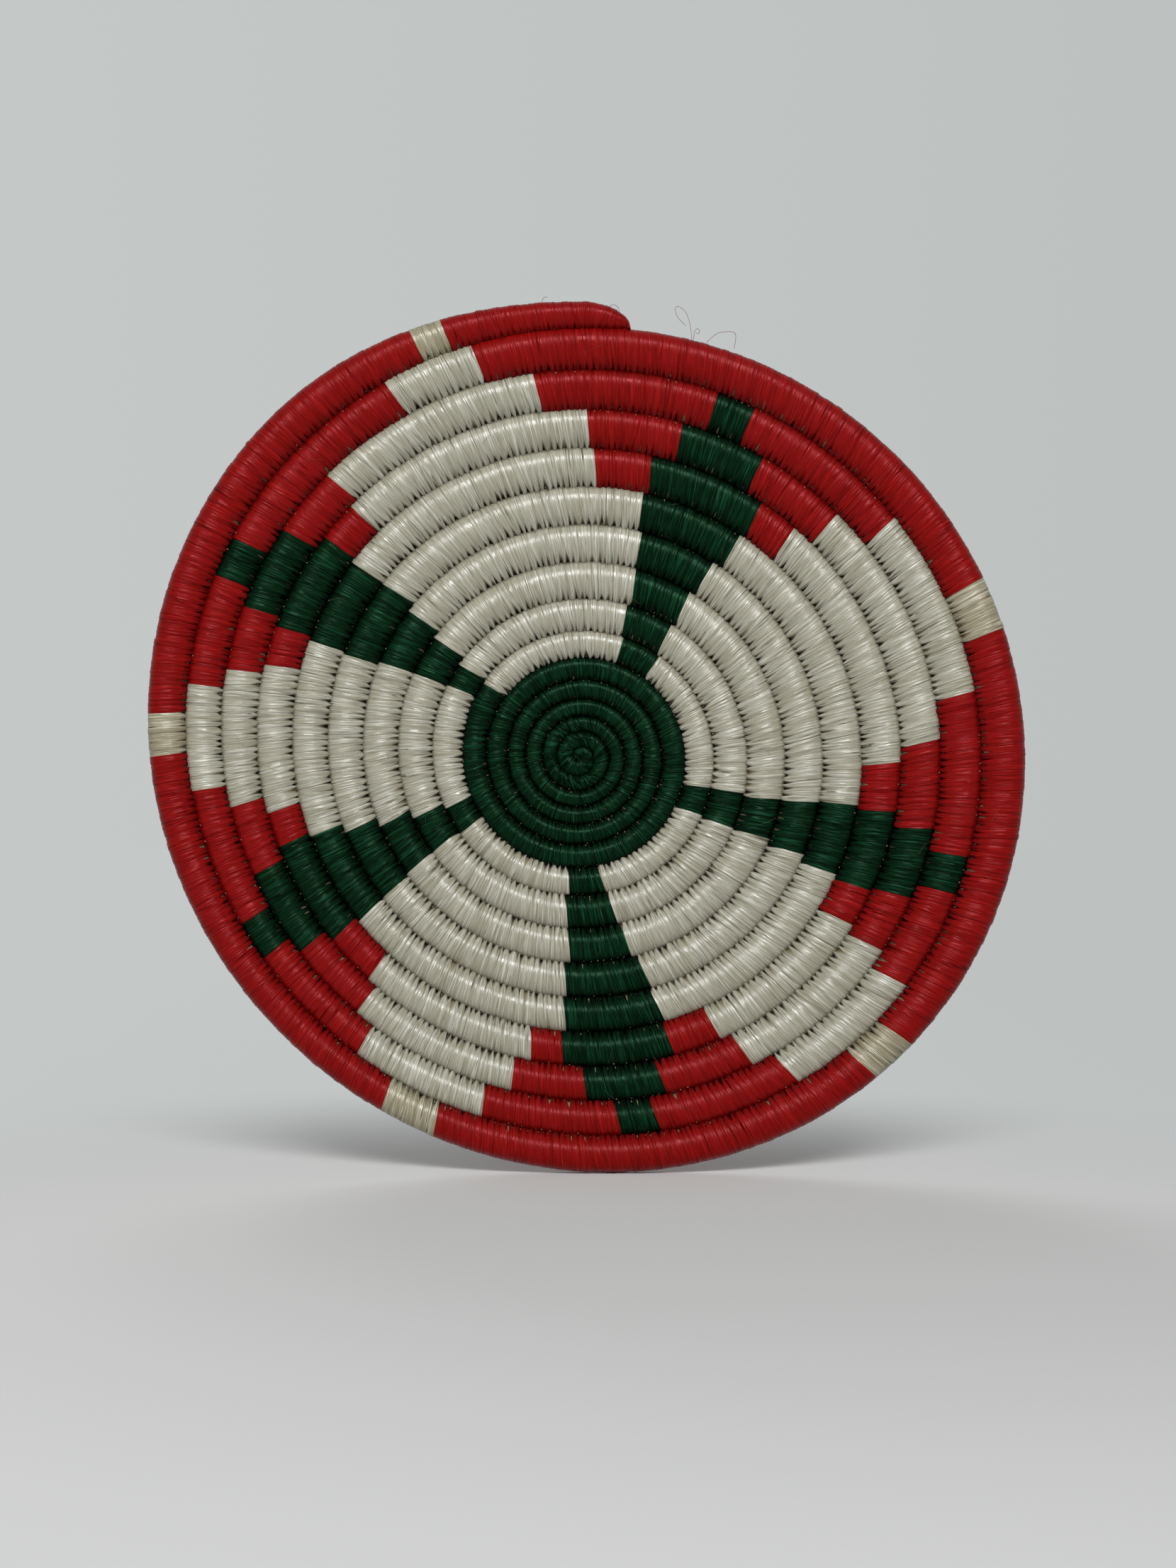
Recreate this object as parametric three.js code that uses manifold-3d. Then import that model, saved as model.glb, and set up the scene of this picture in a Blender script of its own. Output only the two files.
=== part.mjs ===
// Coiled wall basket, hung by its flat back: X to the right, Z up, the face towards -Y, in millimetres.
// One bundle of stalks winds outwards clockwise from the middle, and runs of coloured stitching cover it.
// A place on it has a row number, an angle clockwise from the top in degrees, and a share of the row's width.
import * as THREE from "three";
import { mergeVertices } from "three/addons/utils/BufferGeometryUtils.js";
import Module from "manifold-3d";

const wasm = await Module();
wasm.setup();

// The coil: widths of the rows and how many times it goes round
const EYE_RADIUS = 0.4;
const HEART_PITCH = 5.3;
const ROW_PITCH = 12.55;
const HEART_TURNS = 5.6;
const STAR_TURNS = 9;
const WIDENING_TURNS = 7.9;
const WIDENING_EASE = 2.6;

// The handmade unevenness of the rim: it lies off the middle, and is a little oval
const DRIFT = 7.9;
const DRIFT_TOWARDS = 45;
const OVAL = 2.6;
const OVAL_TOWARDS = 124;
const UNEVEN_EASE = 2.1;

// The dish: thickness of the rows, flat base and raised rim
const HEART_THICKNESS = 5.6;
const ROW_THICKNESS = 10.4;
const BASE_RADIUS = 62;
const RIM_RISE = 11;
const RISE_EASE = 1.5;
const BASE_CUT = 0.5;

// The section of a sewn row: flat crest, sloping shoulders and the groove between rows
const SHOULDER_SHARE = 0.24;
const GROOVE_SHARE = 0.36;

// Stitching round the bundle, and the clearances
const STITCH_WALL = 1.2;
const BUNDLE_CLEARANCE = 0.3;
const RUN_CLEARANCE = 0.3;
const SLANT_LIMIT = 3;

// The button that closes the eye of the first turn: shares of that turn's width, and degrees before its start
const BUTTON_SHARE = 0.92;
const BUTTON_FLAT_SHARE = 0.7;
const BUTTON_OFFSET_SHARE = 0.28;
const BUTTON_BEFORE_START = 44;

// The end of the coil, sewn down on the rim
const END_ANGLE = 366;
const TAIL_FROM = 315;
const TAIL_WIDTH_SHARE = 0.62;
const TAIL_THICKNESS_SHARE = 0.75;
const NOSE_LENGTH = 2;

// Facets: sides of the bundle, and steps round the star's rows and round the small rows of the heart
const BUNDLE_SIDES = 6;
const BUTTON_SIDES = 12;
const ROW_STEP = 15;
const HEART_STEP = 30;
const FINE_FROM = -60;

// The pattern as a weaver's chart: each arm's green run on rows 0 to 7, in degrees, and what its red runs
// reach to on rows 5 to 7
const FIRST_RED_ROW = 5;
const ARMS = [
  {
    green: [
      [20.8, 38.8], [18.3, 35.7], [17.7, 34.7], [16, 34.9],
      [14.1, 36.4], [14.1, 36.3], [17.6, 31.9], [21.1, 26.9],
    ],
    red: [[3.2, 43.8], [1.6, 47], [-6.5, 53.1]],
  },
  {
    green: [
      [103.8, 116], [102.7, 115.2], [102.6, 114], [101.3, 114.1],
      [100.1, 114.9], [100.2, 115], [102, 113.5], [104.7, 110.3],
    ],
    red: [[91.3, 121.9], [87.7, 122.9], [80.8, 125.3]],
  },
  {
    green: [
      [169.6, 184.7], [167.6, 184.5], [165.6, 183], [163.2, 183.5],
      [162.5, 183.2], [162.4, 183.3], [165.7, 179], [168, 173.9],
    ],
    red: [[153.5, 189.5], [150.9, 191.8], [146.4, 195.5]],
  },
  {
    green: [
      [237.9, 249.5], [237.7, 250.2], [236.5, 251.5], [234.8, 252.6],
      [233.8, 253.8], [233.8, 253.7], [235.3, 250.4], [237.7, 243.9],
    ],
    red: [[224, 260.2], [221.3, 262.2], [217.2, 265.1]],
  },
  {
    green: [
      [299.4, 308.4], [297.6, 310], [296.1, 311.1], [294.1, 312.1],
      [293.8, 311], [293.8, 311.1], [294.6, 307.9], [296.9, 302.7],
    ],
    red: [[286.9, 317.9], [284.4, 318.6], [280.8, 332.9]],
  },
];
const RIM_ROW = 8;
const RIM_START = -14.4;
const CREAM_BLOCKS = [[66.3, 73.3], [131.1, 137.4], [201.5, 209.8], [270.3, 276.1], [338.4, 342.5]];

// The heart's green goes on as far as the last arm's green on the first row
const HEART_END = ARMS.at(-1).green[0][1];

// Finishes
const FINISHES = {
  bundle: { color: "#9b8455", roughness: 0.9 },
  green: { color: "#0c3421", roughness: 0.55 },
  white: { color: "#cdcbbe", roughness: 0.5 },
  red: { color: "#a81a22", roughness: 0.55 },
  cream: { color: "#c3bd98", roughness: 0.5 },
};

// Directions of a section's eight corners, seen from its middle, the way round that the bundle's ring goes
const SECTION_KEYS = [18, 60, 120, 162, 198, 240, 300, 342];

const TURN = 360;
const { clamp, degToRad, euclideanModulo, lerp, smoothstep } = THREE.MathUtils;

// Turns wound from the start of the coil to a row and angle
function turnsWound(row, angle) {
  return row + angle / TURN + HEART_TURNS;
}

// How far the rows have widened, from 0 at the heart to 1 on the star
function widening(turns) {
  return clamp(turns / WIDENING_TURNS, 0, 1) ** WIDENING_EASE;
}

// Radius of the coil before any unevenness: the pitch added up turn by turn
function evenRadius(turns) {
  const widened = clamp(turns, 0, WIDENING_TURNS);
  const ramp = (widened * widening(turns)) / (WIDENING_EASE + 1);
  const rest = turns - widened;
  return EYE_RADIUS + HEART_PITCH * turns + (ROW_PITCH - HEART_PITCH) * (ramp + rest);
}

const RIM_RADIUS = evenRadius(HEART_TURNS + STAR_TURNS);

// Radius as wound by hand
function handRadius(turns, angle) {
  const even = evenRadius(turns);
  const share = Math.max(even / RIM_RADIUS, 0) ** UNEVEN_EASE;
  const drift = DRIFT * Math.cos(degToRad(angle - DRIFT_TOWARDS));
  const oval = OVAL * Math.cos(degToRad(2 * (angle - OVAL_TOWARDS)));
  return even + share * (drift + oval);
}

// Rise of the dish above its base, and its steepness
function dishAt(turns) {
  const reach = RIM_RADIUS - BASE_RADIUS;
  const share = Math.max((evenRadius(turns) - BASE_RADIUS) / reach, 0);
  return {
    rise: RIM_RISE * share ** RISE_EASE,
    steepness: (RIM_RISE * RISE_EASE * share ** (RISE_EASE - 1)) / reach,
  };
}

// How far the tail has thinned, from 0 to 1 at the end of the coil
function tailThinning(row, angle) {
  return row === RIM_ROW ? smoothstep(angle, TAIL_FROM, END_ANGLE) : 0;
}

// Width of a row and its thickness, thinner along the tail
function rowWidth(row, angle) {
  const turns = turnsWound(row, angle);
  const full = handRadius(turns + 1, angle) - handRadius(turns, angle);
  return full * lerp(1, TAIL_WIDTH_SHARE, tailThinning(row, angle));
}

function fullThickness(turns) {
  return lerp(HEART_THICKNESS, ROW_THICKNESS, widening(turns));
}

function rowThickness(row, angle, across) {
  const full = fullThickness(turnsWound(row, angle) + across);
  return full * lerp(1, TAIL_THICKNESS_SHARE, tailThinning(row, angle));
}

// A point of a row: across goes from 0 at its inner groove to 1 at its outer one, and out from -1 at the back
// of the row to 1 on its crest
function pointAtStep(row, angle, across, out) {
  const narrowed = across * lerp(1, TAIL_WIDTH_SHARE, tailThinning(row, angle));
  const turns = turnsWound(row, angle) + narrowed;
  const dish = dishAt(turns);
  const half = rowThickness(row, angle, across) / 2;
  const middle = fullThickness(turns) / 2 - BASE_CUT + dish.rise;
  const slant = Math.hypot(1, dish.steepness);
  const radius = handRadius(turns, angle) - (dish.steepness / slant) * half * out;
  const forward = middle + (half * out) / slant;
  const turned = degToRad(angle);
  return new THREE.Vector3(radius * Math.sin(turned), Math.min(-forward, 0), radius * Math.cos(turned));
}

// Straight stretches of the coil run from step to step, and every piece follows the same ones
function stepAt(row, angle) {
  return row * TURN + angle < FINE_FROM ? HEART_STEP : ROW_STEP;
}

function pointOnCoil(row, angle, across, out, stepRow = row) {
  const step = stepAt(stepRow, angle);
  const before = Math.floor(angle / step) * step;
  const from = pointAtStep(row, before, across, out);
  const to = pointAtStep(row, before + step, across, out);
  return from.lerp(to, (angle - before) / step);
}

// The steps strictly between two angles, with the two ends
function stepsBetween(row, from, to) {
  const angles = [from];
  const step = stepAt(row, from);
  for (let angle = (Math.floor(from / step) + 1) * step; angle < to; angle += stepAt(row, angle)) {
    angles.push(angle);
  }
  angles.push(to);
  return angles;
}

// A closed surface from its triangles, as a solid that can be joined and cut
function solidFrom(triangles) {
  return solidOf(new THREE.BufferGeometry().setFromPoints(triangles));
}

function solidOf(geometry) {
  const bare = new THREE.BufferGeometry().setAttribute("position", geometry.getAttribute("position"));
  bare.setIndex(geometry.index);
  const merged = mergeVertices(bare);
  return new wasm.Manifold(
    new wasm.Mesh({
      numProp: 3,
      vertProperties: new Float32Array(merged.attributes.position.array),
      triVerts: new Uint32Array(merged.index.array),
    }),
  );
}

// Triangles between two lines of points with rising keys, whichever of the two steps on first
function zip(near, far, addFace) {
  let n = 0;
  let f = 0;
  while (n + 1 < near.length || f + 1 < far.length) {
    const nearFirst = f + 1 === far.length || (n + 1 < near.length && near[n + 1].key <= far[f + 1].key);
    const ahead = nearFirst ? near[n + 1] : far[f + 1];
    addFace(near[n].point, ahead.point, far[f].point);
    n += nearFirst ? 1 : 0;
    f += nearFirst ? 0 : 1;
  }
}

// A ring round the bundle, with a wall of the given thickness between it and the outside of the row
function bundleRing(row, angle, wall) {
  const wide = 0.5 - wall / rowWidth(row, angle);
  const deep = 1 - wall / (rowThickness(row, angle, 0.5) / 2);
  return Array.from({ length: BUNDLE_SIDES }, (_, side) => {
    const key = (side / BUNDLE_SIDES) * TURN;
    const round = degToRad(key);
    return { key, point: pointOnCoil(row, angle, 0.5 + wide * Math.cos(round), deep * Math.sin(round)) };
  });
}

// Places along the whole coil, from one number of turns wound to another
function placesAlong(fromTurns, toTurns) {
  const places = [];
  const firstRow = Math.floor(fromTurns);
  for (let row = firstRow; row <= RIM_ROW; row++) {
    const from = Math.max((fromTurns - row) * TURN, 0);
    const to = row === RIM_ROW ? (toTurns - row) * TURN : TURN;
    const angles = stepsBetween(row, from, to);
    const kept = row === RIM_ROW ? angles : angles.slice(0, -1);
    places.push(...kept.map((angle) => ({ row, angle })));
  }
  return places;
}

// The bundle itself: one unbroken tube, closed at both ends
function tubeThrough(rings) {
  const triangles = [];
  const first = rings[0];
  const last = rings.at(-1);
  for (let ring = 0; ring + 1 < rings.length; ring++) {
    for (let side = 0; side < BUNDLE_SIDES; side++) {
      const next = (side + 1) % BUNDLE_SIDES;
      const [a, b] = [rings[ring][side].point, rings[ring][next].point];
      const [c, d] = [rings[ring + 1][side].point, rings[ring + 1][next].point];
      triangles.push(a, d, c, a, b, d);
    }
  }
  for (let side = 1; side + 1 < BUNDLE_SIDES; side++) {
    triangles.push(first[0].point, first[side + 1].point, first[side].point);
    triangles.push(last[0].point, last[side].point, last[side + 1].point);
  }
  return solidFrom(triangles);
}

function arcTurns(length, radius) {
  return length / (2 * Math.PI * radius);
}

const END_TURNS = RIM_ROW + END_ANGLE / TURN;
const END_RADIUS = handRadius(END_TURNS + HEART_TURNS, END_ANGLE);
const BORE_END = END_TURNS - arcTurns(NOSE_LENGTH, END_RADIUS);
const BORE_END_ANGLE = (BORE_END - RIM_ROW) * TURN;
const BUNDLE_END = BORE_END - arcTurns(BUNDLE_CLEARANCE, END_RADIUS);
const BUNDLE_START = arcTurns(BUNDLE_CLEARANCE, HEART_PITCH / 2) - HEART_TURNS;

const bundleRings = placesAlong(BUNDLE_START, BUNDLE_END).map(({ row, angle }) =>
  bundleRing(row, angle, STITCH_WALL + BUNDLE_CLEARANCE),
);

// Least gap between one turn of the bundle and any later turn, measured on its corners
function leastGap(rings) {
  const nextTurn = TURN / HEART_STEP - 1;
  const gaps = rings.flatMap((ring, index) =>
    rings.slice(index + nextTurn).flatMap((other) =>
      ring.flatMap((a) => other.map((b) => a.point.distanceTo(b.point))),
    ),
  );
  return gaps.reduce((least, gap) => Math.min(least, gap));
}
console.log("least gap of the foundation coil to itself: " + leastGap(bundleRings).toFixed(2) + " mm");

// A run of stitching over one or more rows. Each row has where the run starts and ends on it, and rows of one
// run are sewn through one another wherever both carry it. The bundle's bore goes through every row.
function sewnRun(rows, boreEnd = Infinity) {
  const triangles = [];
  const addFace = (a, b, c) => triangles.push(a, b, c);
  const addTurned = (a, b, c) => triangles.push(a, c, b);

  // Ends that meet another run keep clear of it; ends where the coil goes on into the run's next row do not
  const places = rows.map(({ row, from, to }, index) => {
    const half = arcTurns(RUN_CLEARANCE / 2, handRadius(turnsWound(row, from) + 0.5, from)) * TURN;
    const goesOnFrom = from === 0 && rows[index - 1]?.to === TURN;
    const goesOnTo = to === TURN && rows[index + 1]?.from === 0;
    const clearFrom = goesOnFrom ? from : from + half;
    const clearTo = goesOnTo ? to : to - half;
    return { row, from: clearFrom, to: clearTo, goesOnFrom, goesOnTo };
  });

  // Where the groove between two rows of the run starts or ends: a small step from row to row is a slant, and
  // at a larger one the row that reaches further has a ledge
  function grooveEnd(own, other, pick) {
    const slants = Math.abs(own - other) < SLANT_LIMIT;
    const middle = (own + other) / 2;
    return { line: slants ? middle : own, shared: slants ? middle : pick(own, other) };
  }

  function pair(row, angle, across, out, stepRow) {
    const front = { key: angle, point: pointOnCoil(row, angle, across, out, stepRow) };
    const back = { key: angle, point: pointOnCoil(row, angle, across, -out, stepRow) };
    return { front, back };
  }

  // A groove takes its straight stretches from the row inside it
  function grooveLine(place, neighbour, side) {
    const stepRow = side ? place.row : place.row - 1;
    const start = neighbour
      ? grooveEnd(place.from, neighbour.from, Math.max)
      : { line: place.from, shared: Infinity };
    const end = neighbour
      ? grooveEnd(place.to, neighbour.to, Math.min)
      : { line: place.to, shared: -Infinity };
    const steps = stepsBetween(place.row, start.line, end.line);
    const corners = [start.shared, end.shared].filter((angle) => angle > start.line && angle < end.line);
    return [...new Set([...steps, ...corners])]
      .sort((a, b) => a - b)
      .map((angle) => {
        const sewn = angle >= start.shared && angle <= end.shared;
        const clear = RUN_CLEARANCE / 2 / rowWidth(place.row, angle);
        const across = sewn ? side : Math.abs(side - clear);
        return { ...pair(place.row, angle, across, GROOVE_SHARE, stepRow), sewn };
      });
  }

  function wall(a, b, add) {
    add(a.front.point, b.front.point, b.back.point);
    add(a.front.point, b.back.point, a.back.point);
  }

  function ledge(line, add) {
    line.slice(1).forEach((place, index) => {
      if (!(place.sewn && line[index].sewn)) {
        wall(line[index], place, add);
      }
    });
  }

  // A closed loop's points again from its first, a full turn on
  function closed(loop) {
    return [...loop, { key: loop[0].key + TURN, point: loop[0].point }];
  }

  // An end of a row: a flat face round the bore, or whole where the bore stops short of it
  function endFace(lines, at, ring, add) {
    const corners = lines.map((line) => line.at(at));
    const outline = [
      ...corners.map(({ front }) => front.point).reverse(),
      ...corners.map(({ back }) => back.point),
    ].map((point, index) => ({ key: SECTION_KEYS[index], point }));
    if (ring) {
      zip(closed(ring), closed(outline), add);
    } else {
      corners.slice(1).forEach((corner, index) => wall(corners[index], corner, add));
    }
  }

  places.forEach((place, index) => {
    const { row, from, to } = place;
    const crest = stepsBetween(row, from, to);
    const lines = [
      grooveLine(place, places[index - 1], 0),
      crest.map((angle) => pair(row, angle, SHOULDER_SHARE, 1)),
      crest.map((angle) => pair(row, angle, 1 - SHOULDER_SHARE, 1)),
      grooveLine(place, places[index + 1], 1),
    ];
    lines.slice(1).forEach((line, i) => {
      zip(lines[i].map(({ front }) => front), line.map(({ front }) => front), addFace);
      zip(lines[i].map(({ back }) => back), line.map(({ back }) => back), addTurned);
    });
    ledge(lines[0], addTurned);
    ledge(lines[3], addFace);

    const stopsShort = boreEnd < to;
    const bored = stepsBetween(row, from, Math.min(to, boreEnd));
    const rings = bored.map((angle) => bundleRing(row, angle, STITCH_WALL));
    rings.slice(1).forEach((ring, i) => {
      closed(ring).slice(1).forEach((_, side) => {
        const next = (side + 1) % BUNDLE_SIDES;
        addFace(rings[i][side].point, ring[side].point, ring[next].point);
        addFace(rings[i][side].point, ring[next].point, rings[i][next].point);
      });
    });
    if (!place.goesOnFrom) {
      endFace(lines, 0, rings[0], addFace);
    }
    if (!place.goesOnTo) {
      endFace(lines, -1, stopsShort ? null : rings.at(-1), addTurned);
    }
    if (stopsShort) {
      const last = rings.at(-1);
      last.slice(2).forEach((corner, i) => addTurned(last[0].point, last[i + 1].point, corner.point));
    }
  });
  return solidFrom(triangles);
}

// The tight button of stitches that closes the middle, clear of the start of the bundle
function button() {
  const radius = BUTTON_SHARE * HEART_PITCH;
  const flat = BUTTON_FLAT_SHARE * HEART_PITCH;
  const front = BASE_CUT - HEART_THICKNESS;
  const edge = (HEART_THICKNESS * (1 - GROOVE_SHARE)) / 2;
  const outline = [
    [0, front],
    [flat, front],
    [radius, front + edge],
    [radius, BASE_CUT - edge],
    [flat, 0],
    [0, 0],
  ].map(([x, y]) => new THREE.Vector2(x, y));
  const shape = new THREE.LatheGeometry(outline, BUTTON_SIDES);
  const startAngle = euclideanModulo(-HEART_TURNS, 1) * TURN;
  const towards = degToRad(startAngle - BUTTON_BEFORE_START);
  const offset = BUTTON_OFFSET_SHARE * HEART_PITCH;
  shape.translate(offset * Math.sin(towards), 0, offset * Math.cos(towards));
  const firstTurn = placesAlong(-HEART_TURNS, END_TURNS).slice(0, TURN / HEART_STEP);
  const bore = tubeThrough(firstTurn.map(({ row, angle }) => bundleRing(row, angle, STITCH_WALL)));
  return solidOf(shape).subtract(bore);
}

const basket = new THREE.Group();

function addPiece(name, solid, finish) {
  const mesh = solid.getMesh();
  const geometry = new THREE.BufferGeometry()
    .setAttribute("position", new THREE.BufferAttribute(mesh.vertProperties, 3))
    .setIndex(new THREE.BufferAttribute(mesh.triVerts, 1));
  geometry.computeVertexNormals();
  const piece = new THREE.Mesh(geometry, new THREE.MeshStandardMaterial(FINISHES[finish]));
  piece.name = name;
  basket.add(piece);
}

function addRun(name, rows, finish, boreEnd) {
  addPiece(name, sewnRun(rows, boreEnd), finish);
}

addPiece("foundation_coil", tubeThrough(bundleRings), "bundle");

// The heart: small green rows from the button out to where the white starts
const firstRow = Math.floor(-HEART_TURNS);
const heartRows = Array.from({ length: -firstRow }, (_, index) => {
  const row = firstRow + index;
  return { row, from: index ? 0 : (-HEART_TURNS - row) * TURN, to: row === -1 ? HEART_END : TURN };
});
addPiece("heart_wrap", sewnRun(heartRows).add(button()), "green");

// Arms, and the red flanks before and after each
ARMS.forEach(({ green, red }, index) => {
  const number = index + 1;
  const rows = green.map(([from, to], row) => ({ row, from, to }));
  addRun("arm_" + number, rows, "green");
  const before = red.map(([from], i) => ({ row: FIRST_RED_ROW + i, from, to: green[FIRST_RED_ROW + i][0] }));
  const after = red.map(([, to], i) => ({ row: FIRST_RED_ROW + i, from: green[FIRST_RED_ROW + i][1], to }));
  addRun("flank_" + number + "_before", before, "red");
  addRun("flank_" + number + "_after", after, "red");
});

// Where an arm's colours start or end on a row: at its green run, or at the red beside it
function edgeOf(arm, row, end) {
  const runs = row < FIRST_RED_ROW ? arm.green[row] : arm.red[row - FIRST_RED_ROW];
  return runs[end];
}

// Petals fill the rows between one arm and the next. The last one crosses the top, so it starts a turn
// earlier on each row and takes in one row more at each side.
ARMS.forEach((arm, index) => {
  const number = index + 1;
  const next = ARMS[index + 1];
  if (next) {
    const rows = arm.green.map((_, row) => ({ row, from: edgeOf(arm, row, 1), to: edgeOf(next, row, 0) }));
    addRun("petal_" + number, rows, "white");
  } else {
    const starts = [HEART_END, ...arm.green.map((_, row) => edgeOf(arm, row, 1))];
    const ends = [...arm.green.map((_, row) => edgeOf(ARMS[0], row, 0)), RIM_START];
    const rows = starts.map((start, row) => ({ row, from: start - TURN, to: ends[row] }));
    addRun("petal_" + number, rows, "white");
  }
});

// The rim row: red runs with a cream block after each but the last
const rimStarts = [RIM_START, ...CREAM_BLOCKS.map(([, to]) => to)];
const rimEnds = [...CREAM_BLOCKS.map(([from]) => from), END_ANGLE];
rimStarts.forEach((from, index) => {
  addRun("rim_red_" + (index + 1), [{ row: RIM_ROW, from, to: rimEnds[index] }], "red", BORE_END_ANGLE);
});
CREAM_BLOCKS.forEach(([from, to], index) => {
  addRun("rim_cream_" + (index + 1), [{ row: RIM_ROW, from, to }], "cream");
});

export default basket;
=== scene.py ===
import math

import bpy
import numpy as np
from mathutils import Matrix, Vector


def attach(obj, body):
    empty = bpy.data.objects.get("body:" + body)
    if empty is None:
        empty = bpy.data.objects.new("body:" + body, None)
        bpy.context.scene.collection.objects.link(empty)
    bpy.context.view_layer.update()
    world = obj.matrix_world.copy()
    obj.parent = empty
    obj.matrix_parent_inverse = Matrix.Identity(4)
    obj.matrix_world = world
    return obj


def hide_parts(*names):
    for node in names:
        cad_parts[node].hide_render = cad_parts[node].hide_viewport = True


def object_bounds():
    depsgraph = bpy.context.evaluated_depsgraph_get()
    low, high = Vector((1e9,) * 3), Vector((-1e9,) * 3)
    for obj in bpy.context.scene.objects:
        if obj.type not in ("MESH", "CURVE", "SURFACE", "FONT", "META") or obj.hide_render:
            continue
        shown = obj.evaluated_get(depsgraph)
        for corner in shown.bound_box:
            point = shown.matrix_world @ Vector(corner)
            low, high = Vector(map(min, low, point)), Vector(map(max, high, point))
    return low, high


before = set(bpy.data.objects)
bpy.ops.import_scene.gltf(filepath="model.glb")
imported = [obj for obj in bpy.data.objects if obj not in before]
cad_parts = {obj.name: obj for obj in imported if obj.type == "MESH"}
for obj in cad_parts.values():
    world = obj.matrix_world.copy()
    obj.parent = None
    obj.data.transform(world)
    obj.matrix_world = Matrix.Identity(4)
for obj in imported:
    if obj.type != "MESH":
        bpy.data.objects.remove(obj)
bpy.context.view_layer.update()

# The view: square on to the basket's face and level with it, as the basket was photographed, from about 0.8 m.
# The picture's middle lies a little right of and below the middle of the coil. Its scale holds on a plane 15 mm
# in front of the wall.
PHOTO_SIZE = (1659, 2212)
COIL_MIDDLE_PIXEL = (817, 1068)
METRES_PER_PIXEL = 0.000243
VIEW_DISTANCE = 0.80
SCALE_PLANE = -0.0150
SENSOR_MM = 36


def add_object(name, data):
    """A new object in the scene, at the origin."""
    made = bpy.data.objects.new(name, data)
    bpy.context.scene.collection.objects.link(made)
    return made


camera_data = bpy.data.cameras.new("photo_camera")
camera = add_object("photo_camera", camera_data)
camera.location = (
    (PHOTO_SIZE[0] / 2 - COIL_MIDDLE_PIXEL[0]) * METRES_PER_PIXEL,
    SCALE_PLANE - VIEW_DISTANCE,
    (COIL_MIDDLE_PIXEL[1] - PHOTO_SIZE[1] / 2) * METRES_PER_PIXEL,
)
camera.rotation_euler = (math.pi / 2, 0, 0)
camera_data.sensor_width = SENSOR_MM
camera_data.lens = SENSOR_MM * VIEW_DISTANCE / (PHOTO_SIZE[1] * METRES_PER_PIXEL)
bpy.context.scene.camera = camera

# The foundation: one bundle of dry stalks, curled up tightly in the middle and wound outwards clockwise in about
# fifteen turns. All the stitching is sewn round it, and it shows in the small gaps between the stitches.

# Sizes are in metres and angles in degrees, clockwise from the top. Rows count from 0, the star's first, to 8, the
# rim, with the heart's seven below 0, and turns count from the eye.
FULL_TURN = 360
HEART_TURNS = 5.6
EYE_RADIUS = 0.0004
HEART_PITCH = 0.0053
ROW_PITCH = 0.01255
WIDENING_TURNS = 7.9
WIDENING_EASE = 2.6
RIM_ROW = 8
RIM_TURNS = HEART_TURNS + (RIM_ROW + 1)
DRIFT, DRIFT_TOWARDS = 0.0079, 45
OVAL, OVAL_TOWARDS = 0.0026, 124
UNEVEN_EASE = 2.1
HEART_THICKNESS = 0.0056
ROW_THICKNESS = 0.0104
BASE_RADIUS = 0.062
BASE_CUT = 0.0005
RIM_RISE = 0.011
RISE_EASE = 1.5
FIRST_ROW = -7
COIL_START = -1
START_THICKNESS_SHARE = 0.45
END_ANGLE = 366.9
TAIL_FROM = 315
TAIL_WIDTH_SHARE = 0.62
TAIL_THICKNESS_SHARE = 0.75
NOSE_ANGLE = 6.6
NOSE_LEFT = 0.1
NOSE_THICKNESS_EASE = 0.6
STITCH_WALL = 0.0011
BUNDLE_ROUNDNESS = 2.2
BUNDLE_SIDES = 14
BUNDLE_STEP = 0.003
BUNDLE_STOPS_SHORT = 1.5
MOST_WALL_ACROSS, MOST_WALL_OUT = 0.4, 0.8
BUNDLE_SEARCH_STEP = 1.0
STREAKS_PER_METRE, STREAK_PER_SIDE = 60, 1.6
STALK_BROWN, STALK_TAN = "#4a3a20", "#a8905e"
STALK_ROUGHNESS = 0.85
STALK_BUMP, STALK_BUMP_STRENGTH = 0.0002, 0.8


def smooth_step(low, high, value):
    """0 below low, 1 above high, and the cubic 3t^2 - 2t^3 between them."""
    t = np.clip((value - low) / (high - low), 0, 1)
    return t * t * (3 - 2 * t)


def turns_at(row, angle):
    """Turns from the eye to an angle on a row."""
    return row + angle / FULL_TURN + HEART_TURNS


def widening(turns):
    """How far the rows have widened, 0 in the heart and 1 on the star: the share of the turns, to a power."""
    return np.clip(turns / WIDENING_TURNS, 0, 1) ** WIDENING_EASE


def even_radius(turns):
    """Radius of an even coil: the pitch, which grows with the widening, added up from the eye turn by turn."""
    widened = np.clip(turns, 0, WIDENING_TURNS)
    ramp = widened * widening(turns) / (WIDENING_EASE + 1)
    grown = (ROW_PITCH - HEART_PITCH) * (ramp + turns - widened)
    return EYE_RADIUS + HEART_PITCH * turns + grown


RIM_RADIUS = even_radius(RIM_TURNS)


def coil_radius(start, across, angle):
    """Radius as wound by hand: the even coil, with a drift to one side and an oval that grow outwards.
    Before the first full turn the row is narrow, from the very middle to where the next turn lies."""
    wound = even_radius(np.maximum(start, 0) + across)
    curled = across * even_radius(np.maximum(start + 1, 0))
    even = np.where(start < 0, curled, wound)
    share = np.clip(even / RIM_RADIUS, 0, None) ** UNEVEN_EASE
    drift = DRIFT * np.cos(np.radians(angle - DRIFT_TOWARDS))
    oval = OVAL * np.cos(np.radians(2 * (angle - OVAL_TOWARDS)))
    return even, even + share * (drift + oval)


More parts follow.
